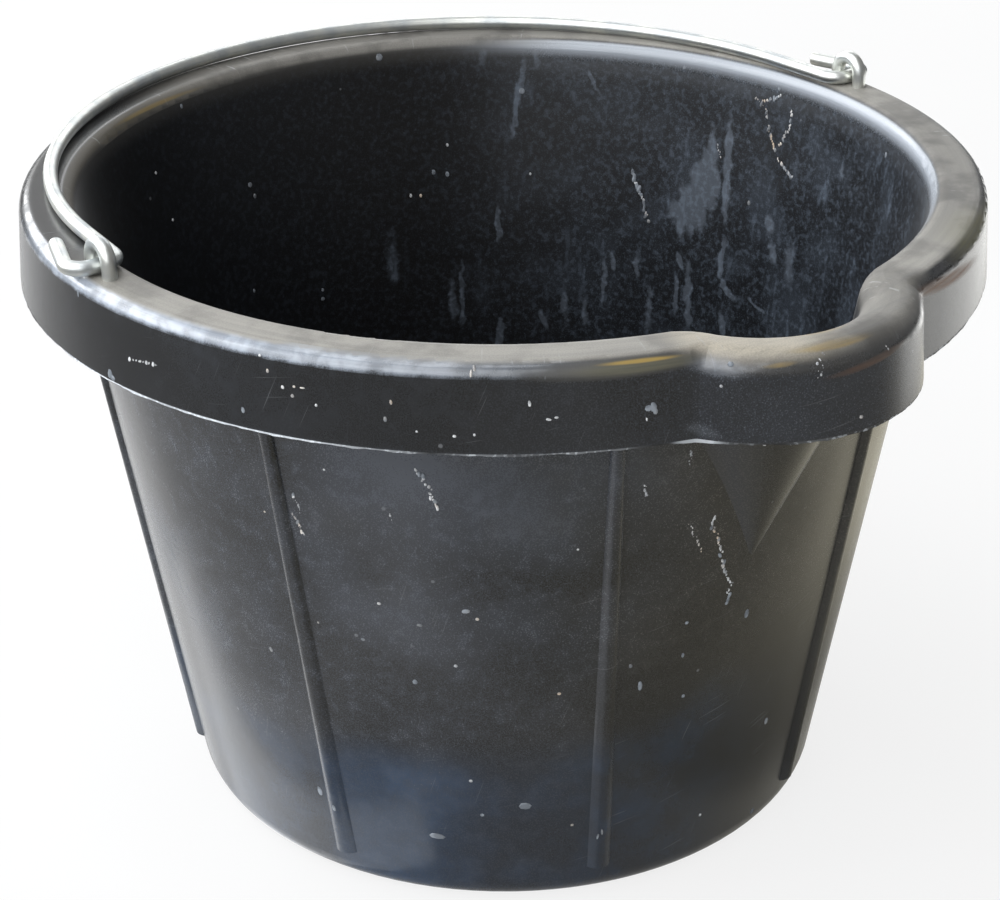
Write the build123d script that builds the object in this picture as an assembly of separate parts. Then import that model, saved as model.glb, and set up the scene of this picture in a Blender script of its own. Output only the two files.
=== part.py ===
from build123d import *
import os
from math import acos, atan2, cos, degrees, radians, sin

# Builder's bucket: one rubber moulding with a pouring lip, and a wire handle that swings in two staples.
# Sizes are millimetres. The origin is the middle of the base's underside, +Z is up, the lip points
# to -Y, the staples stand on the -X and +X sides, and the handle lies folded back over the rim to +Y.

# Wall and floor
bucket_height = 250.0  # base to the flat top of the rim
base_radius = 126.5  # outside of the wall, carried down to the base plane
mouth_radius = 162.3  # inside of the wall, carried up to the top of the rim
wall_thickness = 5.0  # measured level
floor_thickness = 7.0
base_edge_radius = 11.0  # round between the base and the wall, outside
floor_corner_radius = 12.0  # round between the floor and the wall, inside

# Rim: a channel that is open below, between the wall and a turned-down skirt
rim_width = 21.7  # skirt's lower edge to the inside of the mouth
skirt_depth = 30.5  # top of the rim to the skirt's lower edge
skirt_draft = 2.0  # how far the skirt leans in from its lower edge to the top
skirt_wall = 5.0
web_thickness = 8.0  # top of the channel
shoulder_radius = 5.4  # round between the rim's top and the skirt
mouth_edge_radius = 5.5  # round between the rim's top and the inside of the mouth

# Pouring lip, and the half-cone spout that runs down from it into the wall
lip_reach = 20.0  # how far the lip stands out past the round skirt
lip_radius = 60.0  # skirt's lower edge round the lip
lip_corner_radius = 4.0  # hollow corner where the lip leaves the round skirt
lip_shoulder_radius = 8.4  # the lip's rim is rounder than the rest
lip_mouth_edge_radius = 10.4
spout_foot_height = 146.0  # where the spout's point ends, above the base
spout_root = 0.5  # how deep the spout's point ends inside the wall's own face
spout_step = 0.1  # step in from the wall above to the spout's face

# Upright ribs round the outside of the wall
ribs_per_half = 4  # in the lip's half of the wall, and as many in the back half
rib_pitch = 44.0  # degrees between neighbours in one half, which leaves wider gaps under the staples
rib_head_width = 5.2
rib_foot_width = 9.0
rib_height = 2.6
rib_foot_height = 15.0
rib_lean = 2.1  # degrees that each rib's foot stands further round than its head

# Wire of the handle and the staples
wire_diameter = 5.5

# Staples: wire eyes through the rim, with their feet turned out under it
staple_inset = 11.0  # skirt's lower edge at the side to the plane of the staple
staple_forward = 5.0  # the staples' line lies this far in front of the bucket's axis, towards the lip
staple_spacing = 12.5  # between the middles of the two legs
eye_height = 8.2  # clear height of the eye above the rim
foot_length = 10.0  # middle of the leg to the end of the foot
foot_bend_radius = 5.0  # to the middle of the wire

# Handle: a U of wire with flared legs and a hairpin hook at each end, lying flat on the rim
handle_inset = 6.0  # skirt's lower edge to the middle of the wire at the back of the handle
hook_inset = 7.5  # middle of the staple in to the handle's leg, at the hook
leg_flare = 4.0  # degrees that each leg leans out towards its hook
hook_overhang = 12.5  # middle of the staple out to the corner of the hook's tail
hook_bend_radius = 6.0  # to the middle of the wire
tail_length = 28.0  # corner to the end of the hook's tail
tail_closing = 18.0  # degrees that the tail turns in towards the handle's leg
tail_end_radius = 1.0  # round on the cut end of the wire
rest_clearance = 0.3  # folded handle to the rim

# Sizes that follow from those above
wire_radius = wire_diameter / 2
wall_lean = (mouth_radius + wall_thickness - base_radius) / bucket_height
web_level = bucket_height - web_thickness
skirt_foot = bucket_height - skirt_depth
skirt_radius = mouth_radius + rim_width
channel_inset = skirt_wall + skirt_draft * (skirt_depth - web_thickness) / skirt_depth
lip_centre = skirt_radius + lip_reach - lip_radius
staple_x = skirt_radius - staple_inset
handle_half_width = staple_x - hook_inset
handle_reach = staple_forward + skirt_radius - handle_inset
pivot_height = bucket_height + rest_clearance + wire_radius

# The hollow corner's arc touches the round skirt at corner_angle and the lip's arc at lip_half_angle,
# both measured from -Y: one about the bucket's axis and the other about the lip's own centre
corner_distance = skirt_radius + lip_corner_radius
corner_to_lip = lip_radius + lip_corner_radius
corner_angle = acos(
    (corner_distance**2 + lip_centre**2 - corner_to_lip**2) / (2 * corner_distance * lip_centre)
)
corner_x = corner_distance * sin(corner_angle)
corner_y = -corner_distance * cos(corner_angle)
lip_half_angle = atan2(corner_x, -corner_y - lip_centre)
lip_start = -90 - degrees(lip_half_angle)
lip_sweep = 2 * degrees(lip_half_angle)
corner_start = 90 + degrees(corner_angle)
corner_sweep = degrees(lip_half_angle - corner_angle)


def wall_outside(height):
    """Outside radius of the plain wall at a height."""
    return base_radius + wall_lean * height


def wall_inside(height):
    """Inside radius of the plain wall at a height."""
    return wall_outside(height) - wall_thickness


def turned(points, radii):
    """Solid of revolution about the bucket's axis, from an outline with rounded corners."""
    outline = FilletPolyline(*points, radius=radii, close=True)
    return revolve(Plane.XZ * make_face(outline), Axis.Z)


def rim_section(edge_radius, side, shoulder, mouth_edge):
    """Section of the rim and the wall beside its skirt, as (distance from the arc's centre, height).

    edge_radius is the arc of the skirt's lower edge. side is 1 where the bucket lies on the same side
    of that edge as the arc's centre, and -1 in the hollow corners. shoulder and mouth_edge are the
    rounds at the top.
    """

    def at(inset, height):
        return (edge_radius - side * inset, height)

    corners = [
        at(0, skirt_foot),
        at(skirt_draft, bucket_height),
        at(rim_width, bucket_height),
        at(skirt_radius - wall_inside(skirt_foot), skirt_foot),
        at(skirt_radius - wall_outside(skirt_foot), skirt_foot),
        at(skirt_radius - wall_outside(web_level), web_level),
        at(channel_inset, web_level),
        at(skirt_wall, skirt_foot),
    ]
    rounds = [0, shoulder, mouth_edge, 0, 0, 0, 0, 0]
    return make_face(FilletPolyline(*corners, radius=rounds, close=True))


def across_rim(centre, angle):
    """Upright plane through an arc's centre that cuts the rim at an angle in degrees."""
    return Plane(
        origin=(*centre, 0),
        x_dir=(cos(radians(angle)), sin(radians(angle)), 0),
        z_dir=(sin(radians(angle)), -cos(radians(angle)), 0),
    )


def rim_span(centre, section, start, sweep_angle):
    """One arc of the rim, turned about its own upright axis from the start angle in degrees."""
    return revolve(across_rim(centre, start) * section, Axis((*centre, 0), (0, 0, 1)), sweep_angle)


def rim():
    """Rim round the mouth, out round the lip and through the two hollow corners, which blend the two."""
    round_section = rim_section(skirt_radius, 1, shoulder_radius, mouth_edge_radius)
    lip_section = rim_section(lip_radius, 1, lip_shoulder_radius, lip_mouth_edge_radius)
    round_start = degrees(corner_angle) - 90
    round_rim = rim_span((0, 0), round_section, round_start, 360 - 2 * degrees(corner_angle))
    lip_rim = rim_span((0, -lip_centre), lip_section, lip_start, lip_sweep)
    corner = (corner_x, corner_y)
    from_round = rim_section(lip_corner_radius, -1, shoulder_radius, mouth_edge_radius)
    from_lip = rim_section(lip_corner_radius, -1, lip_shoulder_radius, lip_mouth_edge_radius)
    bend = CenterArc(corner, lip_corner_radius + rim_width / 2, corner_start, corner_sweep)
    ends = [
        across_rim(corner, corner_start) * from_round,
        across_rim(corner, corner_start + corner_sweep) * from_lip,
    ]
    right_corner = sweep(ends, path=bend, multisection=True)
    return round_rim + lip_rim + right_corner + mirror(right_corner, Plane.YZ)


def spout(wall_radius):
    """Half-cone under the lip, from the lip's outline beside the skirt's edge to a point in the wall."""
    inset = skirt_radius - wall_radius(skirt_foot) + spout_step
    lip_arc = CenterArc((0, -lip_centre), lip_radius - inset, lip_start, lip_sweep)
    right_arc = CenterArc((corner_x, corner_y), lip_corner_radius + inset, corner_start, corner_sweep)
    left_arc = mirror(right_arc, Plane.YZ)
    tangent_x = (skirt_radius - inset) * sin(corner_angle)
    tangent_y = -(skirt_radius - inset) * cos(corner_angle)
    chord = Line((tangent_x, tangent_y), (-tangent_x, tangent_y))
    mouth = make_face([lip_arc.edge(), right_arc.edge(), left_arc.edge(), chord.edge()])
    point = Vertex(0, spout_root - wall_radius(spout_foot_height), spout_foot_height)
    return loft([Pos(0, 0, skirt_foot) * mouth, point], ruled=True)


def rib(angle):
    """One rounded rib up the outside of the wall. Its head is at this angle from the lip, in degrees."""

    def bead(turn, height, width):
        bead_radius = ((width / 2) ** 2 + rib_height**2) / (2 * rib_height)
        middle = wall_outside(height) + rib_height - bead_radius
        return Pos(middle * sin(radians(turn)), -middle * cos(radians(turn)), height) * Circle(bead_radius)

    foot = bead(angle + rib_lean, rib_foot_height, rib_foot_width)
    head = bead(angle, skirt_foot, rib_head_width)
    return loft([foot, head], ruled=True)


def bucket_body(staples):
    """The rubber moulding, with the legs and feet of the staples pressed into it."""
    outside = turned(
        [(0, 0), (base_radius, 0), (wall_outside(skirt_foot), skirt_foot), (0, skirt_foot)],
        [0, base_edge_radius, 0, 0],
    )
    hollow = turned(
        [
            (0, floor_thickness),
            (wall_inside(floor_thickness), floor_thickness),
            (wall_inside(skirt_foot), skirt_foot),
            (0, skirt_foot),
        ],
        [0, floor_corner_radius, 0, 0],
    )
    outside += spout(wall_outside)
    hollow += spout(wall_inside)
    for place in range(ribs_per_half):
        angle = (place - (ribs_per_half - 1) / 2) * rib_pitch
        outside += rib(angle)
        outside += rib(angle + 180)
    return outside - hollow + rim() - staples


def wire_along(path):
    """Round wire swept along a path of runs and tangent arcs."""
    start = Plane(origin=path @ 0, z_dir=path % 0)
    return sweep(start * Circle(wire_radius), path=path)


def staple(side):
    """Wire eye on one side of the rim: up one leg, over the eye and down the other leg."""
    half = staple_spacing / 2
    foot_level = web_level - wire_radius
    eye_spring = bucket_height + eye_height + wire_radius - half
    leg = FilletPolyline(
        (0, -half - foot_length, foot_level),
        (0, -half, foot_level),
        (0, -half, eye_spring),
        radius=foot_bend_radius,
    )
    arch = ThreePointArc((0, -half, eye_spring), (0, 0, eye_spring + half), (0, half, eye_spring))
    other_leg = mirror(leg, Plane.XZ)
    path = Wire([*leg.edges(), *arch.edges(), *other_leg.edges()])
    return Pos(side * staple_x, -staple_forward, 0) * wire_along(path)


def bail_handle():
    """Handle wire: tail, hook and leg on each side, joined by the round at the back that both legs touch."""
    flare = radians(leg_flare)
    arc_y = (handle_reach - handle_half_width * cos(flare)) / (1 - sin(flare))
    arc_radius = handle_reach - arc_y
    leg_end_x = arc_radius * cos(flare)
    leg_end_y = arc_y + arc_radius * sin(flare)
    tail_x = staple_x + hook_overhang
    tail_angle = radians(tail_closing)
    hook = FilletPolyline(
        (tail_x - tail_length * sin(tail_angle), tail_length * cos(tail_angle), 0),
        (tail_x, 0, 0),
        (handle_half_width, 0, 0),
        (leg_end_x, leg_end_y, 0),
        radius=hook_bend_radius,
    )
    back = ThreePointArc(
        (leg_end_x, leg_end_y, 0),
        (0, handle_reach, 0),
        (-leg_end_x, leg_end_y, 0),
    )
    path = Wire([*hook.edges(), *back.edges(), *mirror(hook, Plane.YZ).edges()])
    wire = wire_along(path)
    wire = fillet(wire.faces().filter_by(GeomType.PLANE).edges(), tail_end_radius)
    return Pos(0, -staple_forward, pivot_height) * wire


left_staple = staple(-1)
right_staple = staple(1)
nodes = {
    "bucket_body": bucket_body([left_staple, right_staple]),
    "bail_handle": bail_handle(),
    "left_handle_staple": left_staple,
    "right_handle_staple": right_staple,
}

os.makedirs("parts", exist_ok=True)
for name, shape in nodes.items():
    export_step(shape, f"parts/{name}.step")
    print(name, "solids", len(shape.solids()), "volume", round(shape.volume))

print("joint at height", round(pivot_height, 3))
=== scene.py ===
# %% [markdown]
# # A builder's bucket
# The bucket is one black rubber moulding with a wire handle in two wire staples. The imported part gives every
# shape its place, in metres, with +Z up and the pouring lip towards -Y. This script adds the looks: a stage and
# lamps, the finishes, the ragged flash under the rim and the mortar that has dried on the rubber.

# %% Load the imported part
from math import atan2, cos, degrees, hypot, pi, radians, sin
from random import Random

import bmesh
import bpy
from mathutils import Matrix, Vector, noise


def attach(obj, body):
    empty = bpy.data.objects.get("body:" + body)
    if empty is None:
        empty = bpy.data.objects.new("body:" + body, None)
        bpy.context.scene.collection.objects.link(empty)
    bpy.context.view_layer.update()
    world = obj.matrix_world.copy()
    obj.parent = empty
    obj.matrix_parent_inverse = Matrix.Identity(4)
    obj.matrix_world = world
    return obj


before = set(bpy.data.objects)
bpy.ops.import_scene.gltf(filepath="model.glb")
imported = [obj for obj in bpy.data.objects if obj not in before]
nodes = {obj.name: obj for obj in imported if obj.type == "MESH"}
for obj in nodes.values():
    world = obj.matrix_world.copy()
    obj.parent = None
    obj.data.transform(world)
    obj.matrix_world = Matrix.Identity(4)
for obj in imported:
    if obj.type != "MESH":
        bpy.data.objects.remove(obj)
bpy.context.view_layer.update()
bpy.ops.object.select_all(action="DESELECT")

# %% [markdown]
# ## The camera
# The picture was taken from the front left of the lip, well above the rim. The lens is a long one, so the mouth
# and the base keep nearly the same scale. A camera is easiest to place by what a photographer would measure:
# how far off it stands, how high it is, how far it tips down and how far it is turned round the bucket.

# %% Camera
CAMERA_TURN = radians(35.5)
CAMERA_OFF = 0.8833
CAMERA_HEIGHT = 0.5736
CAMERA_TIP = 0.4668
CAMERA_AIM = -0.0021
CAMERA_ROLL = -0.0067
LENS = 88.29

bpy.ops.object.camera_add()
camera = bpy.context.object
place = Vector((-CAMERA_OFF * sin(CAMERA_TURN), -CAMERA_OFF * cos(CAMERA_TURN), CAMERA_HEIGHT))
heading = Matrix.Rotation(-CAMERA_TURN - CAMERA_AIM, 4, "Z")
tip = Matrix.Rotation(radians(90) - CAMERA_TIP, 4, "X")
roll = Matrix.Rotation(CAMERA_ROLL, 4, "Z")
camera.matrix_world = Matrix.Translation(place) @ heading @ tip @ roll
camera.data.lens = LENS
bpy.context.scene.camera = camera
print("camera at", [round(v, 3) for v in place])

# %% [markdown]
# ## A small language for finishes
# A finish is a tree of nodes. Placing them one by one hides the idea behind the wiring, so two small classes help.
# A Field is a number that changes over a surface. Adding or multiplying Fields adds Math nodes, so a mask reads as
# a formula. A Finish is the tree itself, with one method that makes any node.

# %% Fields and finishes


class Field:
    """A number that changes over a surface. Arithmetic on it adds Math nodes."""

    def __init__(self, finish, socket):
        self.finish = finish
        self.socket = socket

    def maths(self, operation, *others):
        values = dict(enumerate((self, *others)))
        node = self.finish.node("ShaderNodeMath", {"operation": operation}, values)
        return Field(self.finish, node.outputs[0])

    def __add__(self, other):
        return self.maths("ADD", other)

    __radd__ = __add__

    def __mul__(self, other):
        return self.maths("MULTIPLY", other)

    __rmul__ = __mul__

    def __sub__(self, other):
        return self.maths("SUBTRACT", other)

    def __rsub__(self, other):
        return self * -1 + other

    def __truediv__(self, other):
        return self.maths("DIVIDE", other)

    def most(self, other):
        return self.maths("MAXIMUM", other)

    def step(self, low, high):
        """0 at low, 1 at high and smooth between them. It falls where low is the larger one."""
        limits = {"Value": self, "From Min": low, "From Max": high}
        node = self.finish.node("ShaderNodeMapRange", {"interpolation_type": "SMOOTHSTEP"}, limits)
        return Field(self.finish, node.outputs["Result"])


class Finish:
    """A node tree under construction."""

    def __init__(self, tree):
        self.tree = tree

    def fill(self, socket, value):
        if isinstance(value, Field):
            value = value.socket
        if isinstance(value, bpy.types.NodeSocket):
            self.tree.links.new(value, socket)
        else:
            socket.default_value = value

    def node(self, kind, settings, sockets):
        node = self.tree.nodes.new(kind)
        for name, value in settings.items():
            setattr(node, name, value)
        for name, value in sockets.items():
            self.fill(node.inputs[name], value)
        return node

    def output(self, kind, settings, sockets, output=0):
        return Field(self, self.node(kind, settings, sockets).outputs[output])

    def split(self, vector):
        parts = self.node("ShaderNodeSeparateXYZ", {}, {"Vector": vector})
        return [Field(self, part) for part in parts.outputs]

    def noise(self, vector, scale, detail):
        """Soft random clouds between 0 and 1. scale is how many there are in a metre."""
        return self.output("ShaderNodeTexNoise", {}, {"Vector": vector, "Scale": scale, "Detail": detail})

    def coords(self, kind):
        return self.node("ShaderNodeTexCoord", {}, {}).outputs[kind]

    def scaled(self, vector, scale):
        return self.node("ShaderNodeMapping", {}, {"Vector": vector, "Scale": scale}).outputs[0]

    def vector(self, *parts):
        """A vector out of numbers."""
        return self.node("ShaderNodeCombineXYZ", {}, dict(enumerate(parts))).outputs[0]

    def vector_maths(self, operation, sockets):
        return self.node("ShaderNodeVectorMath", {"operation": operation}, sockets).outputs[0]

    def mix(self, factor, first, second):
        """A colour between two colours."""
        return self.node("ShaderNodeMix", {"data_type": "RGBA"}, {0: factor, 6: first, 7: second}).outputs[2]

    def bump(self, height, strength, distance):
        sockets = {"Strength": strength, "Distance": distance, "Height": height}
        return self.node("ShaderNodeBump", {}, sockets).outputs[0]

    def surface(self, shader):
        self.node("ShaderNodeOutputMaterial", {}, {"Surface": shader.outputs[0]})

    def principled(self, sockets):
        self.surface(self.node("ShaderNodeBsdfPrincipled", {}, sockets))


def new_material(name):
    material = bpy.data.materials.new(name)
    material.use_nodes = True
    material.node_tree.nodes.clear()
    return material, Finish(material.node_tree)


# %% [markdown]
# ## Stage and light
# The photo is a cut-out on white. A white card would need so much light that the bucket washes out, so the floor
# and the world look white only to the camera, through the Light Path node. To every other ray they are a plain
# pale room. Black rubber is nearly a mirror, and a mirror in an evenly white room shows no shape at all. So
# reflections see a floor that is darker in places, as if things stood round it: in front, on both sides, close to
# the base and far away. On the right it is also a little warm, which gives the rubber there its brown tone.

# %% Floor
WHITE = (1, 1, 1, 1)
FLOOR_COLOUR = (0.9, 0.9, 0.9, 1)
WARM_SIDE = (1, 0.94, 0.74, 1)
FLOOR_SIZE = 12
FLOOR_DROP = 0.0005  # keeps the floor clear of the base
SHADOW_KEPT = 0.18  # how much of the floor's own shading the camera sees


def looks(finish):
    """Two fields: 1 for rays that are looked along, straight or through something clear, and 1 for reflections."""
    rays = finish.node("ShaderNodeLightPath", {}, {})
    straight, clear, mirrored = (
        Field(finish, rays.outputs[f"Is {kind} Ray"]) for kind in ("Camera", "Transmission", "Glossy")
    )
    return straight.most(clear), mirrored


bpy.ops.mesh.primitive_plane_add(size=FLOOR_SIZE, location=(0, 0, -FLOOR_DROP))
floor = bpy.context.object
floor.name = "floor"
material, paint = new_material("pale_floor")
seen, mirrored = looks(paint)
x, y, z = paint.split(paint.coords("Object"))


def towards(turn):
    """How far along a heading a point of the floor lies. turn is as for the lamps."""
    return x * sin(CAMERA_TURN + radians(turn)) + y * cos(CAMERA_TURN + radians(turn))


# The limits of a step are metres on the floor. The last factor is how dark the shade is.
off = (x * x + y * y).maths("SQRT")
far = off.step(0.9, 1.6)
front_shade = towards(-130).step(0.26, 0.56) * 0.65
right_shade = towards(125).step(0, 0.2) * towards(180).step(-0.1, 0.15) * 0.6
back_shade = towards(-40).step(0.46, 0.6) * 0.25
left_shade = towards(43).step(-0.145, -0.2) * towards(-90).step(0.08, 0.2) * 0.35
near_shade = off.step(0.3, 0.17) * towards(150).step(0, 0.1) * 0.6
base_shade = off.step(0.34, 0.15) * towards(110).step(0.08, 0.16) * 0.8
shade = far * 0.85
for part in (front_shade, right_shade, back_shade, left_shade, near_shade, base_shade):
    shade = shade.most(part)
warm = towards(110).step(0.04, 0.2) * off.step(0.6, 0.45).most(0.35)
tint = paint.mix(mirrored * warm, WHITE, WARM_SIDE)
matt = paint.node("ShaderNodeBsdfDiffuse", {}, {"Color": FLOOR_COLOUR})
glow = paint.node("ShaderNodeEmission", {}, {"Color": tint, "Strength": 1 - mirrored * shade})
whitened = seen * (1 - SHADOW_KEPT + far * SHADOW_KEPT) + mirrored
mixed = paint.node("ShaderNodeMixShader", {}, {0: whitened, 1: matt.outputs[0], 2: glow.outputs[0]})
paint.surface(mixed)
floor.data.materials.append(material)
print("floor is white to the camera, and shaded in places and warm on the right in reflections")

# %% World
AMBIENT = 0.15
DARK_SIDE = 0.25  # how bright the room's right side is in reflections
LEFT = CAMERA_TURN - pi / 2

world = bpy.data.worlds.new("studio")
bpy.context.scene.world = world
world.use_nodes = True
world.node_tree.nodes.clear()
air = Finish(world.node_tree)
seen, mirrored = looks(air)
x, y, z = air.split(air.coords("Generated"))
leftward = x * sin(LEFT) + y * cos(LEFT)
room = (DARK_SIDE + leftward.step(-0.5, 0.7) * (1 - DARK_SIDE)) * z.step(-0.02, 0.12)
strength = AMBIENT + seen * (1 - AMBIENT) + mirrored * (room - AMBIENT)
sky = air.node("ShaderNodeBackground", {}, {"Color": WHITE, "Strength": strength})
air.node("ShaderNodeOutputWorld", {}, {"Surface": sky.outputs[0]})
print("world gives", AMBIENT, "of plain light")

# %% [markdown]
# The lamps are soft boxes. A wide one stands behind on the left, as a patch of bright sky does. It draws the pale
# bands along the rim's shoulder and along the mouth. A dimmer one in front carries the band on towards the lip,
# one overhead and one behind light the tops of the rim and the wire, and a low card on the right brightens the
# edge of the wall. On the left a narrow strip lies on the floor and faces up. The wall mirrors it as the long
# highlight that runs down to the base. A lamp is easier to think of by how bright its face looks than by its watts,
# so the helper turns brightness into watts.

# %% Lamps
AIM = Vector((0, 0, 0.15))
DAYLIGHT = (0.96, 0.98, 1.0)
STRIP_HEIGHT = 0.0015


def add_lamp(name, place, rotation, size, brightness):
    """A rectangle of light. The camera doesn't see it, but reflections do."""
    bpy.ops.object.light_add(type="AREA", location=place, rotation=rotation)
    lamp = bpy.context.object
    lamp.name = name
    lamp.visible_camera = False
    lamp.data.color = DAYLIGHT
    lamp.data.shape = "RECTANGLE"
    lamp.data.size, lamp.data.size_y = size
    lamp.data.energy = brightness * pi * size[0] * size[1]
    print(name, "watts", round(lamp.data.energy, 2))


def soft_box(name, turn, rise, away, size, brightness):
    """A lamp that faces the bucket. turn is the angle from straight behind it, to the right in the picture."""
    heading = CAMERA_TURN + radians(turn)
    level = Vector((sin(heading), cos(heading), 0)) * cos(radians(rise))
    place = AIM + (level + Vector((0, 0, sin(radians(rise))))) * away
    add_lamp(name, place, (AIM - place).to_track_quat("-Z", "Y").to_euler(), size, brightness)


def floor_strip(name, turn, away, slant, size, brightness):
    """A lamp that lies on the floor and faces up. slant is the heading of its long side."""
    heading = CAMERA_TURN + radians(turn)
    place = Vector((sin(heading) * away, cos(heading) * away, STRIP_HEIGHT))
    add_lamp(name, place, (pi, 0, pi / 2 - CAMERA_TURN - radians(slant)), size, brightness)


soft_box("sky_lamp", -70, 28, 2.4, (4.0, 1.5), 3.8)
soft_box("front_lamp", -150, 34, 2.2, (2.6, 1.7), 2.0)
soft_box("top_lamp", -120, 76, 2.4, (1.6, 1.0), 2.8)
soft_box("back_lamp", 10, 27, 2.6, (1.8, 0.9), 2.4)
soft_box("right_card", 62, -5, 0.55, (0.5, 0.16), 0.9)
floor_strip("left_strip", -110.4, 0.1565, -47, (0.28, 0.032), 0.75)

# %% [markdown]
# ## Rubber
# The body is one moulding, but it doesn't look the same all over: the rim's top is grey with dust, its shoulder
# is polished and scuffed, with a painted highlight on the scuffs, the outside is satin black and the inside is dull
# with smears of mortar. One material can hold all of that. It asks where a point is and which way it faces, and
# makes a mask for each zone.

# %% Rubber: zones
rubber, paint = new_material("black_rubber")
spot = paint.coords("Object")
x, y, z = paint.split(spot)
facing_x, facing_y, facing_up = paint.split(paint.coords("Normal"))
away = (x * x + y * y).maths("SQRT")
outward = (x * facing_x + y * facing_y) / away
turn = x.maths("ARCTAN2", y * -1)  # radians round from the lip, towards the right staple

inside = outward.step(-0.1, -0.5).most(z.step(0.03, 0.01) * facing_up.step(0.5, 0.8))
rim = z.step(0.238, 0.245)
shoulder = facing_up.step(0.05, 0.24) * facing_up.step(0.995, 0.95) * outward.step(0.04, 0.25) * rim
lip = turn.step(-0.34, -0.26) * turn.step(0.34, 0.26)
left_side = turn.step(-1.45, -1.75) * turn.step(-3.1, -2.5)
right_side = turn.step(0.3, 0.7) * turn.step(1.45, 1.2)
worn_mouth = outward.step(-0.05, -0.3) * turn.step(0.2, 0.9) * turn.step(2.75, 2.3)
back = turn.maths("ABSOLUTE").step(2.2, 2.7)
behind = turn.step(-2.2, -3)  # lets the left half run into the right half at the back
print("rubber zones: inside, rim, shoulder, lip, two sides, the back and the worn part of the mouth")

# %% [markdown]
# Noise gives the rubber its life. Broad clouds and a fine grain cover all of it. Noise that is stretched along Z
# makes smears down the wall, noise in rim coordinates makes lines along the rim or nicks across it, and noise that
# is drawn out along a slant of the unrolled wall makes scratches.

# %% Rubber: clouds, grain, lines and scratches
RIM_RADIUS = 0.17
WALL_RADIUS = 0.16
DRAWN_OUT = 0.004  # metres of texture to a radian, so that lines run far along the rim
SCRATCH = (0.025, 0.0006, 1)  # length and width in metres

clouds = paint.noise(spot, 24, 5)
grain = paint.noise(spot, 1900, 1)
swirls = paint.noise(spot, 160, 6)
along_rim = paint.vector(away, z, turn * DRAWN_OUT)
across_rim = paint.vector(turn * RIM_RADIUS, away * 0.06)
lines = paint.noise(along_rim, 900, 2)
smears = paint.noise(along_rim, 450, 3)
nicks = paint.noise(across_rim, 420, 2).step(0.64, 0.74) * paint.noise(spot, 210, 1).step(0.45, 0.6)
unrolled = paint.vector(turn * WALL_RADIUS, z)


def slanted(lean):
    """Short fine scratches that lean by an angle."""
    sockets = {"Vector": unrolled, "Rotation": (0, 0, radians(lean)), "Scale": SCRATCH}
    mapping = paint.node("ShaderNodeMapping", {"vector_type": "TEXTURE"}, sockets)
    return paint.noise(mapping.outputs[0], 1, 0).step(0.79, 0.84)


scratches = slanted(12).most(slanted(70)) * clouds.step(0.42, 0.56)
flecks = paint.node("ShaderNodeTexVoronoi", {}, {"Vector": spot, "Scale": 75})
chosen = paint.split(flecks.outputs["Color"])[0]
specks = Field(paint, flecks.outputs["Distance"]).step(0.07, 0.04) * chosen.step(0.7, 0.8)
print("rubber noises: clouds, grain, swirls, lines, smears, nicks, scratches and specks")

# %% [markdown]
# Mortar that ran down the inside left thin films with definite places, so they are listed. Each is an oval between
# two ends, given as the angle from the lip in degrees and the height in millimetres, with its width and how thick
# it is. A Mapping node moves the texture space into the oval, and a spherical Gradient fades it out. The space is
# wandered a little by noise, or every film would have the same clean outline.

# %% Rubber: films of mortar inside
FILMS = [
    ((140.8, 247), (143.4, 199), 3.0, 1.0),
    ((145.4, 178), (145.0, 155), 3.8, 0.9),
    ((144.8, 126), (145.8, 108), 4.0, 0.9),
    ((131.6, 241), (128.3, 224), 1.8, 0.8),
    ((151.9, 160), (152.1, 112), 3.0, 0.7),
    ((153.8, 152), (154.1, 116), 5.0, 0.55),
    ((164.0, 172), (164.8, 136), 7.0, 0.5),
    ((125.2, 158), (124.6, 148), 2.4, 0.8),
    ((137.8, 130), (136.2, 118), 3.0, 0.8),
    ((126.6, 158), (126.1, 128), 2.0, 0.8),
    ((147.6, 246), (147.6, 236), 3.6, 0.7),
    ((139.0, 246), (139.0, 235), 3.6, 0.7),
    ((108.4, 213), (107.6, 176), 7.0, 0.9),
    ((109.0, 222), (108.4, 186), 6.0, 0.8),
    ((110.0, 215), (109.2, 166), 8.0, 1.0),
    ((111.6, 207), (110.9, 164), 8.0, 1.0),
    ((113.2, 197), (112.8, 166), 7.0, 0.8),
    ((114.6, 189), (114.4, 173), 6.0, 0.7),
    ((106.6, 234), (104.2, 164), 4.4, 1.0),
    ((104.4, 176), (104.3, 152), 3.6, 1.0),
    ((104.3, 156), (100.4, 147), 3.2, 1.0),
    ((113.4, 163), (111.8, 154), 2.8, 0.8),
    ((111.1, 164), (109.1, 122), 4.2, 0.9),
    ((112.9, 158), (112.3, 132), 2.6, 0.8),
    ((103.6, 143), (101.0, 125), 3.6, 0.8),
    ((95.8, 192), (95.3, 179), 6.0, 0.6),
    ((90.6, 190), (89.1, 158), 10.0, 0.5),
    ((95.1, 180), (92.9, 169), 4.4, 0.7),
    ((98.4, 152), (93.2, 147), 1.6, 0.9),
    ((82.1, 225), (81.4, 214), 3.4, 0.6),
    ((120.4, 160), (120.2, 146), 3.0, 0.7),
    ((133.5, 150), (133.2, 112), 4.0, 0.5),
    ((129.6, 140), (129.8, 118), 3.4, 0.6),
    ((118.0, 150), (117.2, 122), 4.0, 0.55),
]
INNER_FOOT = 0.1215  # the wall's inner radius at the foot
WALL_LEAN = 0.1632  # how much wider the wall gets for its height
FILM_WIDER = 1.4  # a film fades towards its outline, so the oval is made larger
FILM_LONGER = 1.1
FILM_DEPTH = 0.02  # how far the oval reaches through the wall
DRIFT = 0.006


def wall_inside(height):
    return INNER_FOOT + WALL_LEAN * height


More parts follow.
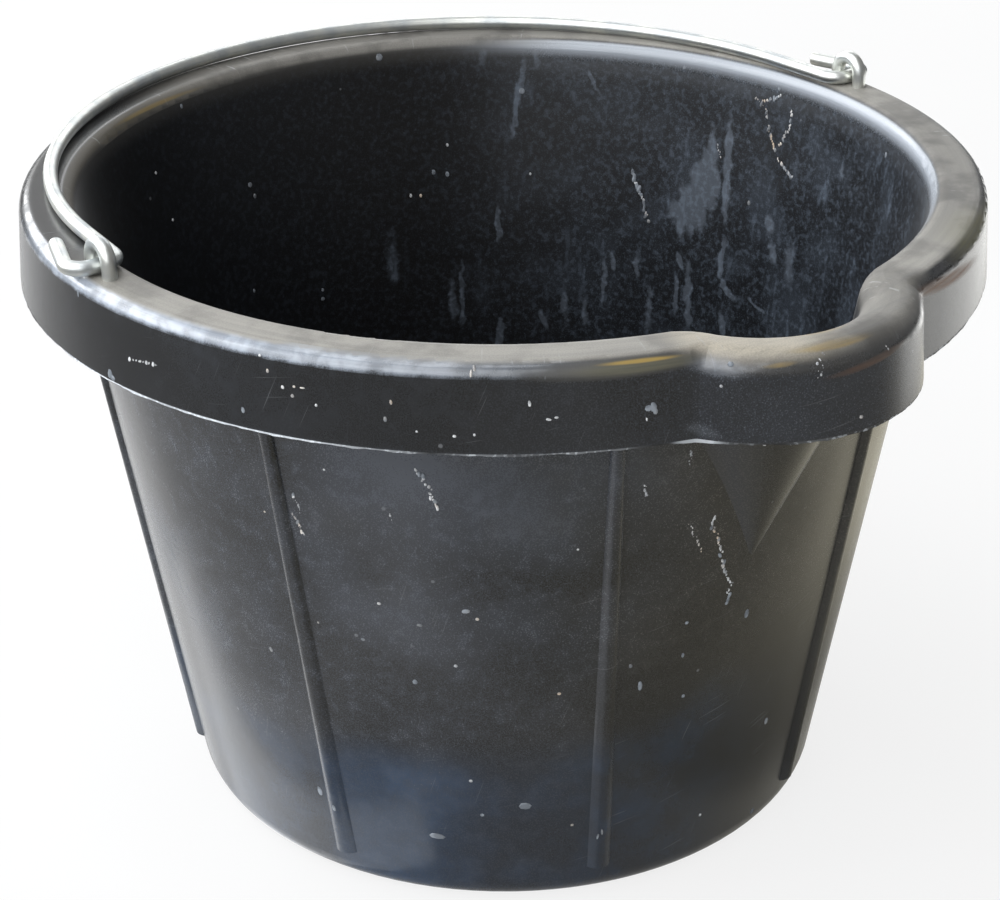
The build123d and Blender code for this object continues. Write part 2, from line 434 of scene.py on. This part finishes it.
def film(start, end, width, away, space):
    """A soft oval from one end to the other. Its width is in millimetres, its distance from the axis in metres."""
    around = radians((start[0] + end[0]) / 2)
    height = (start[1] + end[1]) / 2000
    over = radians(start[0] - end[0]) * away
    down = (start[1] - end[1]) / 1000
    settings = {"vector_type": "TEXTURE"}
    sockets = {
        "Vector": space,
        "Location": (away * sin(around), -away * cos(around), height),
        "Rotation": (0, atan2(over, down), around),
        "Scale": (width / 2000 * FILM_WIDER, FILM_DEPTH, hypot(over, down) / 2 * FILM_LONGER),
    }
    oval = paint.node("ShaderNodeMapping", settings, sockets)
    return paint.output("ShaderNodeTexGradient", {"gradient_type": "SPHERICAL"}, {"Vector": oval.outputs[0]}, 1)


drift = paint.node("ShaderNodeTexNoise", {}, {"Vector": spot, "Scale": 170, "Detail": 6}).outputs["Color"]
drift = paint.vector_maths("SUBTRACT", {0: drift, 1: (0.5, 0.5, 0.5)})
drift = paint.vector_maths("SCALE", {0: drift, "Scale": DRIFT})
wandered = paint.vector_maths("ADD", {0: spot, 1: drift})

filmed = inside * 0
for top, foot, width, thick in FILMS:
    filmed = filmed.most(film(top, foot, width, wall_inside(top[1] / 1000), wandered) * thick)
filmed = (filmed + (swirls - 0.5) * 0.8).step(0.12, 0.46) * inside
print("films inside", len(FILMS))

# %% [markdown]
# The colours go on in the order in which the real dirt did, with painted light among them: black rubber, a painted
# blue reflection low on the wall, a grey bloom, scratches and specks, the mortar inside, and last the dust on the
# rim.
# Bloom is the haze that old rubber gets, and here it also carries painted light and shade. It is thickest on the
# left half, as a painted light, and high on the wall. It is thin on the skirt and low down on the right and nearly
# gone under the lip, as a painted shade. On the right it turns brown, as a painted warm reflection. Dust lies on
# the flat top and on the mouth's round edge, but rubs off the shoulder.

# %% Rubber: colour outside
BLACK = (0.014, 0.0145, 0.0155, 1)
BLUISH_BLOOM = (0.058, 0.066, 0.082, 1)
BROWN_REFLECTION_BLOOM = (0.064, 0.06, 0.053, 1)
BLUE_REFLECTION = (0.02, 0.05, 0.105, 1)
SPECK = (0.3, 0.31, 0.33, 1)
SCUFF_AND_HIGHLIGHT = (0.49, 0.545, 0.63, 1)

# A painted reflection: a blue tint low on the wall, up to a wavy line and strongest on the left front, stands for a
# bluish floor that the rubber mirrors.
blue_reflection_top = 0.066 + turn.step(-0.7, 0).most(behind) * 0.024 + (paint.noise(spot, 14, 5) - 0.5) * 0.034
blue_reflection = (z - blue_reflection_top).step(0.011, -0.011) * (0.15 + turn.step(0.2, -0.4) * (1 - behind) * 0.85)
blue_reflection = blue_reflection * (0.4 + swirls * 1.2)
bluest_reflection = turn.step(-1.2, -1.08) * turn.step(-0.6, -0.95)
skirt = z.step(0.2185, 0.2205)
# Bloom is haze with painted light and shade in it: more on the left half, less on the skirt, low on the right and
# under the lip. Its brown on the right is a painted warm reflection.
high_up = z.step(0.15, 0.185) * (1 - skirt) * turn.step(-1.15, -0.95).most(behind)
painted_shade_low_right = z.step(0.14, 0.06) * turn.step(-0.5, -0.3).most(behind)
left_half_painted_light = turn.step(-0.2, -0.9) * (1 - behind)
painted_shade_under_lip = facing_up.step(-0.24, -0.36) * z.step(0.13, 0.16)
bloom_and_painted_light = (clouds.step(0.38, 0.72) * 0.4 + swirls.step(0.48, 0.75) * 0.3 + high_up * 0.31) * (1 - painted_shade_under_lip)
bloom_and_painted_light = bloom_and_painted_light * (0.8 + left_half_painted_light * (0.7 - skirt)) * (1 - skirt * 0.45) * (1 - painted_shade_low_right * 0.85)
bloom_and_painted_light = bloom_and_painted_light + grain.step(0.4, 0.8) * (0.7 - painted_shade_low_right * 0.5 - skirt * left_half_painted_light * 0.55)
bloom_and_painted_light = (bloom_and_painted_light + skirt * lip * 0.12) * (1 - blue_reflection * 0.35)
brown = turn.step(-0.6, 0).most(behind) * (1 - skirt) + (paint.noise(spot, 30, 4) - 0.5) * 1.2
colour = paint.mix(blue_reflection * (0.15 + clouds.step(0.4, 0.6) * 0.4 + bluest_reflection * 0.45), BLACK, BLUE_REFLECTION)
colour = paint.mix(bloom_and_painted_light, colour, paint.mix(brown, BLUISH_BLOOM, BROWN_REFLECTION_BLOOM))
# A painted highlight: one flank of each rib is made a little paler, as if lit from that side.
rib_flank_highlight = ((y * facing_x - x * facing_y) / away).step(0.2, 0.5) * (1 - inside) * z.step(0.216, 0.212)
colour = paint.mix(rib_flank_highlight * 0.05, colour, SPECK)
colour = paint.mix(scratches * 0.22, colour, SPECK)
colour = paint.mix(specks * 0.4, colour, SPECK)
# On the front left of the shoulder the pale blue scuffs are partly real wear and partly a painted highlight, laid
# where the lamps' band runs along the shoulder.
rubbed = turn.step(-2, -1.6) * turn.step(-0.3, -1.15)
ragged = (facing_up + swirls * 0.5 + grain * 0.3).step(0.38, 0.75)
scuff_and_highlight = shoulder * rubbed * ragged * (0.3 + lines * 0.45 + swirls.step(0.35, 0.65) * 0.35)
colour = paint.mix(scuff_and_highlight.most(shoulder * nicks * 0.5), colour, SCUFF_AND_HIGHLIGHT)
print("outside: film, bloom, scratches, specks and scuffs")

# %% Rubber: colour inside
# The inside's black is darker than the outside's: a painted shade for the hollow.
SHADED_INNER_BLACK = (0.004, 0.0036, 0.0038, 1)
MORTAR_FILM = (0.12, 0.148, 0.19, 1)
POLISH_HIGHLIGHT = (0.5, 0.54, 0.6, 1)

# The right side of the inside gets more of the bluish-grey film: partly mortar, and partly painted light on that
# wall.
used_and_lit_side = (x / away).step(0.3, 1)
drips = paint.noise(paint.scaled(spot, (1, 1, 0.12)), 230, 3).step(0.56, 0.68)
patches = paint.noise(spot, 38, 5).step(0.45, 0.68)
mottle = paint.noise(spot, 420, 3).step(0.45, 0.72)
inner_film = used_and_lit_side * (0.04 + patches * 0.16 + drips * patches * 0.4)
inner_film = inner_film + (0.36 + used_and_lit_side * 0.7) * (mottle * 0.3 + grain.step(0.52, 0.75) * 0.32)
inner = paint.mix(inner_film, SHADED_INNER_BLACK, MORTAR_FILM)
inner = paint.mix(specks * 0.5, inner, SPECK)
inner = paint.mix(filmed * (0.25 + mottle * 0.3 + drips * 0.25 + used_and_lit_side * 0.2), inner, MORTAR_FILM)
colour = paint.mix(inside, colour, inner)
# The pale band along the mouth on the right and at the back is a painted highlight on the worn, polished edge.
polished = z.step(0.241, 0.247) * (0.7 + lines * 0.5) + z.step(0.232, 0.242) * 0.07
polished = polished * worn_mouth * facing_up.step(0.88, 0.66)
colour = paint.mix(polished, colour, POLISH_HIGHLIGHT)
print("inside: film, specks, films of mortar and the polished mouth")

# %% Rubber: dust on the rim
DUST = (0.4, 0.382, 0.345, 1)
LIP_DUST = (0.55, 0.5, 0.41, 1)
SMUDGE_AND_SHADE = (0.1, 0.095, 0.086, 1)
SHADED_BROWN_DUST = (0.09, 0.076, 0.05, 1)
CHALK = (0.55, 0.55, 0.54, 1)

level = facing_up - outward * 0.35
lies = level.step(0.62, 0.9) * (1 - lip) + level.step(0.1, 0.85) * lip
kept = (1 - left_side * outward.step(-0.3, -0.1) * 0.95) * (1 - worn_mouth * facing_up.step(0.95, 0.8) * 0.95)
dust = lies * rim * kept * (0.56 + smears * 0.6 + (grain - 0.5) * 0.6)
bright_lip = lip * turn.step(0, -0.12)
smudged = paint.noise(paint.scaled(spot, (1, 1, 0.3)), 60, 6).step(0.42, 0.68) * (1 - bright_lip * 0.7)
powder = paint.mix(bright_lip, DUST, LIP_DUST)
# The dust is darker on the right and on the right half of the lip, and at the back, where the darkening is a
# painted shade.
powder = paint.mix(smudged * 0.45 + right_side.most(back).most(lip - bright_lip) * 0.42, powder, SMUDGE_AND_SHADE)
# On the left the dust is dark brown: dust with a painted shade on the mouth's edge there.
powder = paint.mix(left_side, powder, SHADED_BROWN_DUST)
powder = paint.mix(nicks * 0.6, powder, CHALK)
mouth_dust = outward.step(-0.3, -0.8) * z.step(0.2375, 0.248) * (1 - worn_mouth) * 0.6
lip_dust = shoulder * lip * 0.45
colour = paint.mix(mouth_dust.most(lip_dust), colour, SMUDGE_AND_SHADE)
colour = paint.mix(dust, colour, powder)
print("dust on the rim's top, the mouth and the lip")

# %% Rubber: stains and painted reflections on the rim
# Each is a colour and how deep it is, two ends and a width as for the films, and the distance from the axis. The
# gold lines are painted reflections.
GOLD_REFLECTION = (0.42, 0.29, 0.08, 1)
RUST = (0.2, 0.1, 0.05, 1)
OLIVE = (0.2, 0.19, 0.1, 1)

STAINS = [
    (SMUDGE_AND_SHADE, 0.9, (-36.0, 246.4), (-12.0, 247.2), 6.0, 0.18),
    (OLIVE, 0.4, (-30.0, 246.4), (-14.0, 247.0), 4.0, 0.18),
    (GOLD_REFLECTION, 1.0, (-26.5, 248.2), (-17.0, 248.4), 1.1, 0.18),
    (GOLD_REFLECTION, 0.5, (-8.0, 249.0), (2.0, 249.2), 1.5, 0.194),
    (GOLD_REFLECTION, 0.4, (-10.5, 245.4), (-7.0, 246.6), 1.4, 0.196),
    (RUST, 0.4, (-5.0, 240.3), (6.0, 243.9), 2.6, 0.201),
    (RUST, 0.8, (12.0, 246.4), (34.0, 238.4), 5.0, 0.182),
    (OLIVE, 0.7, (22.0, 248.2), (46.0, 246.6), 6.0, 0.181),
    # The two pale blue marks at the lip's left corner and on its skirt are painted light.
    (SCUFF_AND_HIGHLIGHT, 0.2, (-17.6, 246.0), (-11.0, 243.5), 6.0, 0.189),
    (SCUFF_AND_HIGHLIGHT, 0.07, (-17.4, 224.8), (-13.5, 220.7), 4.0, 0.187),
    (GOLD_REFLECTION, 0.5, (-143.0, 248.6), (-166.0, 247.6), 1.4, 0.162),
]
streaks = 0.3 + lines * 1.3
stained = inside * 0
for tint, depth, start, end, width, distance in STAINS:
    stain = film(start, end, width, distance, spot).step(0, 0.7) * depth * streaks
    colour = paint.mix(stain, colour, tint)
    stained = stained.most(stain)
print("stains on the rim", len(STAINS))

# %% Rubber: gloss and grain
rough = 0.2 + grain * 0.04 + bloom_and_painted_light * 0.06 + inside * (1 - rim) * 0.08 + filmed * 0.2
glossy = swirls.step(0.25, 0.6)
rough = rough + dust.most(stained * 0.8).most(mouth_dust) * 0.4 + shoulder * (1 - glossy) * 0.1
height = grain * 0.25 * (1 - inside * 0.6) + swirls * 0.35 * (1 - shoulder * 0.6) + lines * shoulder * 0.3
paint.principled(
    {
        "Base Color": colour,
        "Roughness": rough,
        "Specular IOR Level": 0.6,
        "Sheen Weight": 0.3,
        "Sheen Roughness": 0.24,
        "Coat Weight": shoulder * (1 - dust) * glossy * 0.9,
        "Coat Roughness": 0.14,
        "Normal": paint.bump(height, strength=0.12, distance=0.0006),
    }
)
nodes["bucket_body"].data.materials[0] = rubber
print("rubber nodes", len(rubber.node_tree.nodes))

# %% [markdown]
# ## Galvanised wire
# The handle and its staples are steel wire with a bright zinc skin. Zinc is a metal with soft grey patches, a
# little dull where hands and hooks have rubbed it.

# %% Galvanised wire
BRIGHT_ZINC = (0.76, 0.77, 0.73, 1)
GREY_ZINC = (0.55, 0.58, 0.59, 1)

zinc, paint = new_material("galvanised_wire")
spot = paint.coords("Object")
patches = paint.noise(spot, 90, 4)
rubbed = paint.noise(spot, 700, 3)
paint.principled(
    {
        "Base Color": paint.mix(patches.step(0.35, 0.7), BRIGHT_ZINC, GREY_ZINC),
        "Metallic": 1.0,
        "Roughness": 0.28 + patches * 0.2 + rubbed * 0.08,
        "Normal": paint.bump(rubbed, strength=0.1, distance=0.0004),
    }
)
for name in ("bail_handle", "left_handle_staple", "right_handle_staple"):
    nodes[name].data.materials[0] = zinc
print("zinc on the handle and two staples")

# %% [markdown]
# ## Flash along the skirt
# Where the halves of a mould meet, rubber squeezes out in a thin ragged edge called flash. Here it hangs from the
# lower edge of the skirt and has worn pale. It could be drawn as a curve, but the skirt's own edge is already in
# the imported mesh, so a copy of that mesh is cut down to the one edge, which is then extruded downwards.

# %% Flash: the skirt's edge
SKIRT_FOOT = 0.2195
LEVEL_SLACK = 0.00002
SAME_POINT = 0.000005

edge_mesh = nodes["bucket_body"].data.copy()
flash = bpy.data.objects.new("skirt_flash", edge_mesh)
bpy.context.collection.objects.link(flash)
bpy.context.view_layer.objects.active = flash
flash.select_set(True)
bpy.ops.mesh.customdata_custom_splitnormals_clear()
bpy.ops.object.mode_set(mode="EDIT")
bpy.ops.mesh.select_mode(type="EDGE")
bpy.ops.mesh.select_all(action="SELECT")
bpy.ops.mesh.remove_doubles(threshold=SAME_POINT)
bpy.ops.mesh.select_all(action="DESELECT")


def is_skirt_edge(edge):
    """True on the line between the skirt's outside and its level foot."""
    if any(abs(vert.co.z - SKIRT_FOOT) > LEVEL_SLACK for vert in edge.verts):
        return False
    below = any(face.normal.z < -0.8 for face in edge.link_faces)
    beside = any(
        abs(face.normal.z) < 0.3 and face.normal.dot(edge.verts[0].co) > 0 for face in edge.link_faces
    )
    return below and beside


cut = bmesh.from_edit_mesh(edge_mesh)
for edge in cut.edges:
    edge.select = is_skirt_edge(edge)
cut.select_flush_mode()
bmesh.update_edit_mesh(edge_mesh)
bpy.ops.mesh.select_all(action="INVERT")
bpy.ops.mesh.delete(type="EDGE")
print("skirt edge has", len(cut.edges), "runs")

# %% Flash: extrude, roughen and thicken
FLASH_DROP = 0.0006
FLASH_RAGGED = 0.0005
FLASH_THICKNESS = 0.0008
LUMP = -16  # degrees from the lip's middle, where a thicker piece hangs
LUMP_SPREAD = 3
LUMP_DROP = 0.0009


def round_the_axis(verts):
    """A number that rises round the Z axis, and upwards at each place."""
    middle = sum((vert.co for vert in verts), Vector()) / len(verts)
    return 1000 * atan2(middle.x, -middle.y) + middle.z


def put_in_order(mesh):
    """Sorts a mesh. Some tools leave new parts in any order, and each run should give the same mesh."""
    mesh.verts.sort(key=lambda vert: round_the_axis([vert]))
    mesh.edges.sort(key=lambda edge: round_the_axis(edge.verts))
    mesh.faces.sort(key=lambda face: round_the_axis(face.verts))


bpy.ops.mesh.select_all(action="SELECT")
bpy.ops.mesh.subdivide(number_cuts=3)
bpy.ops.mesh.extrude_edges_move(TRANSFORM_OT_translate={"value": (0, 0, -FLASH_DROP)})
cut = bmesh.from_edit_mesh(edge_mesh)
put_in_order(cut)
for vert in cut.verts:
    if vert.select:
        ragged = noise.noise(vert.co * 90) + 0.7 * noise.noise(vert.co * 480)
        lump = max(0, 1 - abs(degrees(atan2(vert.co.x, -vert.co.y)) - LUMP) / LUMP_SPREAD)
        vert.co.z += FLASH_RAGGED * ragged - LUMP_DROP * lump
bmesh.update_edit_mesh(edge_mesh)
bpy.ops.mesh.select_all(action="SELECT")
bpy.ops.mesh.normals_make_consistent(inside=False)
bpy.ops.object.mode_set(mode="OBJECT")
thicken = flash.modifiers.new("thicken", "SOLIDIFY")
thicken.thickness = FLASH_THICKNESS
thicken.offset = -1
bpy.ops.object.modifier_apply(modifier="thicken")
print("flash has", len(edge_mesh.polygons), "faces")

# %% Flash: finish
FRESH_FLASH = (0.02, 0.021, 0.023, 1)
PALE_FLASH = (0.78, 0.82, 0.87, 1)

worn, paint = new_material("worn_flash")
spot = paint.coords("Object")
x, y, z = paint.split(spot)
turn = x.maths("ARCTAN2", y * -1)
most_worn = turn.step(-1.75, -1.5) * turn.step(-0.75, -0.95)
least_worn = turn.step(-0.25, 0.05).most(turn.step(-2.2, -3))
chipped = paint.noise(spot, 520, 2).step(0.52, 0.6)
pale = paint.noise(spot, 45, 3).step(0.42, 0.62) * (0.2 + chipped * 0.4) + most_worn * (0.6 + chipped * 0.4)
pale = pale + (turn - radians(LUMP)).maths("ABSOLUTE").step(0.05, 0.02) * 0.6
pale = pale * (1 - least_worn * 0.6) + chipped * least_worn * 0.4
paint.principled({"Base Color": paint.mix(pale, FRESH_FLASH, PALE_FLASH), "Roughness": 0.5})
edge_mesh.materials.clear()
edge_mesh.materials.append(worn)
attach(flash, "bucket")
print("flash rides on the bucket")

# %% [markdown]
# ## Dried mortar
# Splashes of mortar have dried on the rubber as crumbs. Most of them sit in crooked lines where a dribble ran
# down, and some are single flat spots. One crumb is modelled from a sphere, and every other crumb is a copy of it
# that is stretched, turned and set on the wall. A ray that is shot at the body finds the wall.

# %% Mortar: one crumb
bpy.ops.object.select_all(action="DESELECT")
bpy.ops.mesh.primitive_uv_sphere_add(segments=8, ring_count=6, radius=1)
crumb = bpy.context.object
bpy.ops.object.mode_set(mode="EDIT")
bpy.ops.mesh.select_all(action="SELECT")
bpy.ops.transform.vertex_random(offset=0.22, uniform=0, normal=0, seed=4)
put_in_order(bmesh.from_edit_mesh(crumb.data))
bmesh.update_edit_mesh(crumb.data)
bpy.ops.object.mode_set(mode="OBJECT")
bpy.ops.object.shade_smooth()
print("one crumb has", len(crumb.data.polygons), "faces")

# %% Mortar: setting a crumb on the wall
THIN_FROM = 2.2  # square millimetres from which a splash is a thin film
WELL_OUTSIDE = 0.3
UPRIGHT = Vector((0, 0, 1))

chance = Random(11)
crumbs = []
thin_spots = []


def landing(angle, height, within):
    """Where a level ray meets the body, and which way the body faces there. height is in millimetres."""
    out = Vector((sin(radians(angle)), -cos(radians(angle)), 0))
    level = Vector((0, 0, height / 1000))
    start = level if within else level + out * WELL_OUTSIDE
    _, where, facing, _ = nodes["bucket_body"].ray_cast(start, out if within else -out)
    return where, facing


def add_crumb(where, facing, along, width, length, proud):
    """One crumb on the body. width and length are across it, and proud is how far it stands out, in millimetres."""
    side = along.cross(facing).normalized()
    axes = Matrix((side, facing.cross(side), facing)).transposed().to_4x4()
    size = Matrix.Diagonal((width / 2000, length / 2000, proud / 1000, 1))
    copy = crumb.copy()
    copy.data = crumb.data.copy()
    copy.matrix_world = Matrix.Translation(where) @ axes @ size
    bpy.context.collection.objects.link(copy)
    (thin_spots if width * length > THIN_FROM else crumbs).append(copy)


# %% Mortar: dribbles
# Each is how thick it is, whether it is inside, and the places that it ran through, as angle and height.
DRIBBLES = [
    (1.0, False, [(-46.5, 200.3), (-45.2, 195.6), (-44.8, 192.9), (-44.4, 189.3), (-44.2, 186.6), (-43.7, 183.6)]),
    (0.7, False, [(-63.2, 181.8), (-62.8, 176.1), (-62.6, 172.6)]),
    (0.7, False, [(-63.9, 172.9), (-63.2, 168.9), (-62.6, 164.3)]),
    (0.5, False, [(-49.9, 181.6), (-50.0, 177.8)]),
    (0.8, False, [(-12.5, 202.5), (-12.2, 198.8), (-12.2, 194.9)]),
    (0.6, False, [(-17.7, 191.6), (-17.9, 187.6), (-17.6, 185.2)]),
    (0.9, False, [(-7.3, 171.1), (-7.8, 168.6), (-6.6, 162.1), (-5.5, 154.7), (-5.0, 148.6), (-3.7, 140.8)]),
    (0.9, False, [(-3.7, 140.8), (-2.8, 138.1), (-3.2, 134.5), (-2.7, 132.6), (-3.0, 129.5)]),
    (0.5, False, [(-11.1, 170.4), (-9.6, 161.5), (-8.5, 156.1)]),
    (0.7, False, [(-79.4, 230.3), (-77.5, 231.2), (-76.3, 231.8), (-74.1, 232.5)]),
    (0.6, False, [(-4.4, 248.6), (-5.0, 245.8), (-5.3, 240.6)]),
    (0.7, False, [(2.2, 246.2), (2.9, 243.0)]),
    (0.9, True, [(102.0, 236.4), (99.8, 232.6), (99.0, 225.8), (97.5, 219.5), (96.3, 213.9), (92.6, 208.3)]),
    (0.8, True, [(100.8, 235.8), (98.1, 238.8), (97.1, 240.8)]),
    (0.8, True, [(95.0, 236.0), (94.7, 228.7), (96.3, 219.4)]),
    (1.1, True, [(122.7, 195.4), (121.6, 188.5), (120.5, 183.9), (119.8, 177.7), (118.7, 171.7)]),
    (0.5, True, [(107.9, 213.2), (107.0, 207.1)]),
]
WALL = 155  # millimetres from the axis, near enough to turn degrees into distance
SPACING = 0.75
MISSING = 0.2
STRAY = 0.35
WIDEST = 1.7

for thick, within, places in DRIBBLES:
    for start, end in zip(places, places[1:]):
        over = radians(end[0] - start[0]) * WALL
        down = end[1] - start[1]
        count = max(1, round(hypot(over, down) / SPACING))
        for k in range(count):
            if chance.random() < MISSING:
                continue
            part = (k + chance.random()) / count
            angle = start[0] + (end[0] - start[0]) * part + degrees(chance.gauss(0, STRAY) / WALL)
            where, facing = landing(angle, start[1] + down * part, within)
            width = thick * min(WIDEST, chance.lognormvariate(-0.05 if within else -0.25, 0.45))
            along = Vector((chance.gauss(0, 0.4), chance.gauss(0, 0.4), 1))
            add_crumb(where, facing, along, width, width * chance.uniform(1.1, 2.2), 0.25 * width + 0.1)
print("crumbs in dribbles", len(crumbs) + len(thin_spots))

# %% Mortar: spots and flakes
# Each is its angle and height, its width and, outside, its length in millimetres.
SPOT_PROUD = 0.22
INNER_SPOT_PROUD = 0.2
SPOTS = [
    (-32.6, 48.9, 4.6, 3.4),
    (-46.9, 31.9, 6.2, 2.8),
    (-67.5, 41.4, 2.2, 4.6),
    (-64.3, 37.4, 1.4, 3.2),
    (-41.0, 61.2, 1.4, 1.4),
    (-39.4, 44.4, 1.5, 1.5),
    (-24.9, 37.5, 1.2, 1.2),
    (-1.0, 25.8, 1.2, 1.4),
    (13.4, 11.0, 2.6, 2.6),
    (11.4, 58.7, 2.0, 3.4),
    (-52.7, 140.6, 1.5, 1.3),
    (-40.8, 140.8, 3.0, 1.9),
    (-39.3, 137.5, 1.4, 1.3),
    (-47.2, 133.1, 2.2, 1.4),
    (-55.7, 122.9, 1.6, 1.4),
    (-42.5, 115.8, 1.4, 1.4),
    (-48.5, 106.8, 1.9, 2.2),
    (-72.2, 105.4, 1.6, 2.4),
    (-27.9, 102.6, 1.4, 1.3),
    (-26.2, 166.7, 0.9, 0.9),
    (-68.4, 170.1, 0.9, 0.9),
    (-58.2, 195.0, 0.9, 0.9),
    (-62.5, 126.1, 0.9, 0.9),
    (-9.5, 125.8, 1.5, 1.5),
    (1.2, 120.6, 2.0, 4.2),
    (-9.4, 110.9, 1.2, 2.2),
    (-17.6, 111.3, 1.4, 2.0),
    (-15.8, 101.0, 1.7, 4.6),
    (-8.3, 91.0, 1.4, 1.6),
    (-61.1, 245.9, 1.0, 1.0),
    (-60.2, 241.1, 1.0, 1.5),
    (-58.5, 236.4, 1.1, 1.4),
    (-57.2, 237.3, 1.0, 0.9),
    (-57.4, 234.0, 1.2, 1.3),
    (-56.3, 237.3, 1.8, 0.6),
    (-54.8, 232.0, 0.9, 1.1),
    (-63.2, 225.5, 1.3, 2.2),
    (-46.9, 236.0, 0.9, 1.8),
    (-47.5, 230.0, 1.2, 2.0),
    (-40.5, 225.6, 1.2, 1.0),
    (-38.5, 226.2, 0.8, 1.0),
    (-44.3, 226.6, 0.8, 0.8),
    (-31.1, 231.2, 1.8, 0.9),
    (-30.3, 231.8, 1.4, 0.8),
    (-33.0, 236.9, 1.0, 2.2),
    (-20.9, 232.4, 2.6, 2.2),
    (-20.4, 232.6, 2.2, 3.6),
    (-20.2, 231.2, 1.6, 2.6),
    (-21.1, 228.6, 0.7, 1.3),
    (-13.8, 238.6, 1.1, 1.1),
    (-12.9, 245.9, 2.0, 1.8),
    (-38.5, 248.4, 0.9, 2.4),
    (-38.8, 247.0, 0.8, 2.6),
    (-0.8, 224.1, 1.6, 1.2),
    (-88.5, 244.8, 1.0, 2.8),
    (-82.4, 221.6, 2.6, 3.6),
    (-81.9, 220.6, 2.4, 2.0),
    (-20.8, 31.6, 0.8, 3.6),
    (-20.2, 34.0, 0.8, 3.0),
]
for angle, height, width, length in SPOTS:
    where, facing = landing(angle, height, False)
    along = Vector((chance.gauss(0, 0.15), chance.gauss(0, 0.15), 1))
    add_crumb(where, facing, along, width, length, SPOT_PROUD)

INNER_SPOTS = [
    (141.4, 226.7, 2.6),
    (156.2, 192.0, 1.8),
    (153.9, 190.7, 1.8),
    (160.3, 182.5, 1.2),
    (158.6, 182.0, 1.2),
    (153.7, 203.7, 1.2),
    (139.9, 190.1, 1.0),
    (71.2, 236.5, 1.8),
    (97.9, 243.0, 1.4),
    (100.5, 191.8, 1.6),
    (-170.7, 201.6, 2.2),
    (-171.3, 196.3, 1.6),
    (-150.9, 222.7, 1.4),
    (-152.6, 201.0, 1.4),
    (-168.0, 156.5, 1.3),
    (178.2, 143.4, 2.0),
    (178.0, 147.4, 1.4),
    (164.0, 244.5, 3.0),
    (-159.7, 243.5, 1.6),
]
for angle, height, width in INNER_SPOTS:
    where, facing = landing(angle, height, True)
    add_crumb(where, facing, UPRIGHT, width, width * chance.uniform(0.9, 1.5), INNER_SPOT_PROUD)
print("crumbs", len(crumbs), "and thin spots", len(thin_spots))

# %% Mortar: beads under the lip's edge
LIP_BEADS = [-10.2, -7.9, -4.3, -3.9, -2.6, -0.8, 0.7, 2.2]
LIP_EDGE = 219.9
BEAD_PROUD = 0.45
for angle in LIP_BEADS:
    where, facing = landing(angle, LIP_EDGE, False)
    hung = where - facing * 0.0007 - UPRIGHT * 0.0009
    bead = chance.uniform(0.9, 1.5)
    add_crumb(hung, facing, UPRIGHT, bead, bead, BEAD_PROUD)
print("beads under the lip", len(LIP_BEADS))

# %% [markdown]
# The crumbs and the thin spots are joined into one piece each. A thick crumb is nearly as pale as the dry mortar
# it came from, some with brown sand. A thin spot lets the black rubber show through, so it is a bluish grey.

# %% Mortar: two pieces
# Three colours each: mostly the first, in places the second, and the third where the mortar is thinnest.
CRUMB_COLOURS = (0.8, 0.81, 0.82, 1), (0.74, 0.6, 0.46, 1), (0.26, 0.27, 0.29, 1)
SPOT_COLOURS = (0.3, 0.33, 0.37, 1), (0.3, 0.3, 0.3, 1), (0.13, 0.145, 0.165, 1)


def join_mortar(pieces, name, pale, warm, thin):
    """One piece out of many, with a finish of three colours."""
    bpy.ops.object.select_all(action="DESELECT")
    for piece in pieces:
        piece.select_set(True)
    mortar = pieces[0]
    bpy.context.view_layer.objects.active = mortar
    bpy.ops.object.join()
    bpy.ops.object.transform_apply(location=True, rotation=True, scale=True)
    mortar.name = name
    dried, paint = new_material("dried_" + name)
    spot = paint.coords("Object")
    colour = paint.mix(paint.noise(spot, 40, 2).step(0.5, 0.62), pale, warm)
    colour = paint.mix(paint.noise(spot, 300, 1).step(0.4, 0.6) * 0.7, colour, thin)
    gritty = paint.bump(paint.noise(spot, 1800, 2), strength=0.4, distance=0.0003)
    paint.principled({"Base Color": colour, "Roughness": 0.85, "Normal": gritty})
    mortar.data.materials.clear()
    mortar.data.materials.append(dried)
    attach(mortar, "bucket")
    print(name, "faces", len(mortar.data.polygons))


join_mortar(crumbs, "mortar_crumbs", *CRUMB_COLOURS)
join_mortar(thin_spots, "mortar_spots", *SPOT_COLOURS)
bpy.data.objects.remove(crumb)

# %% [markdown]
# ## Finish
# The last cell sets the plain view transform.

# %% Finish
bpy.context.scene.view_settings.view_transform = "Standard"
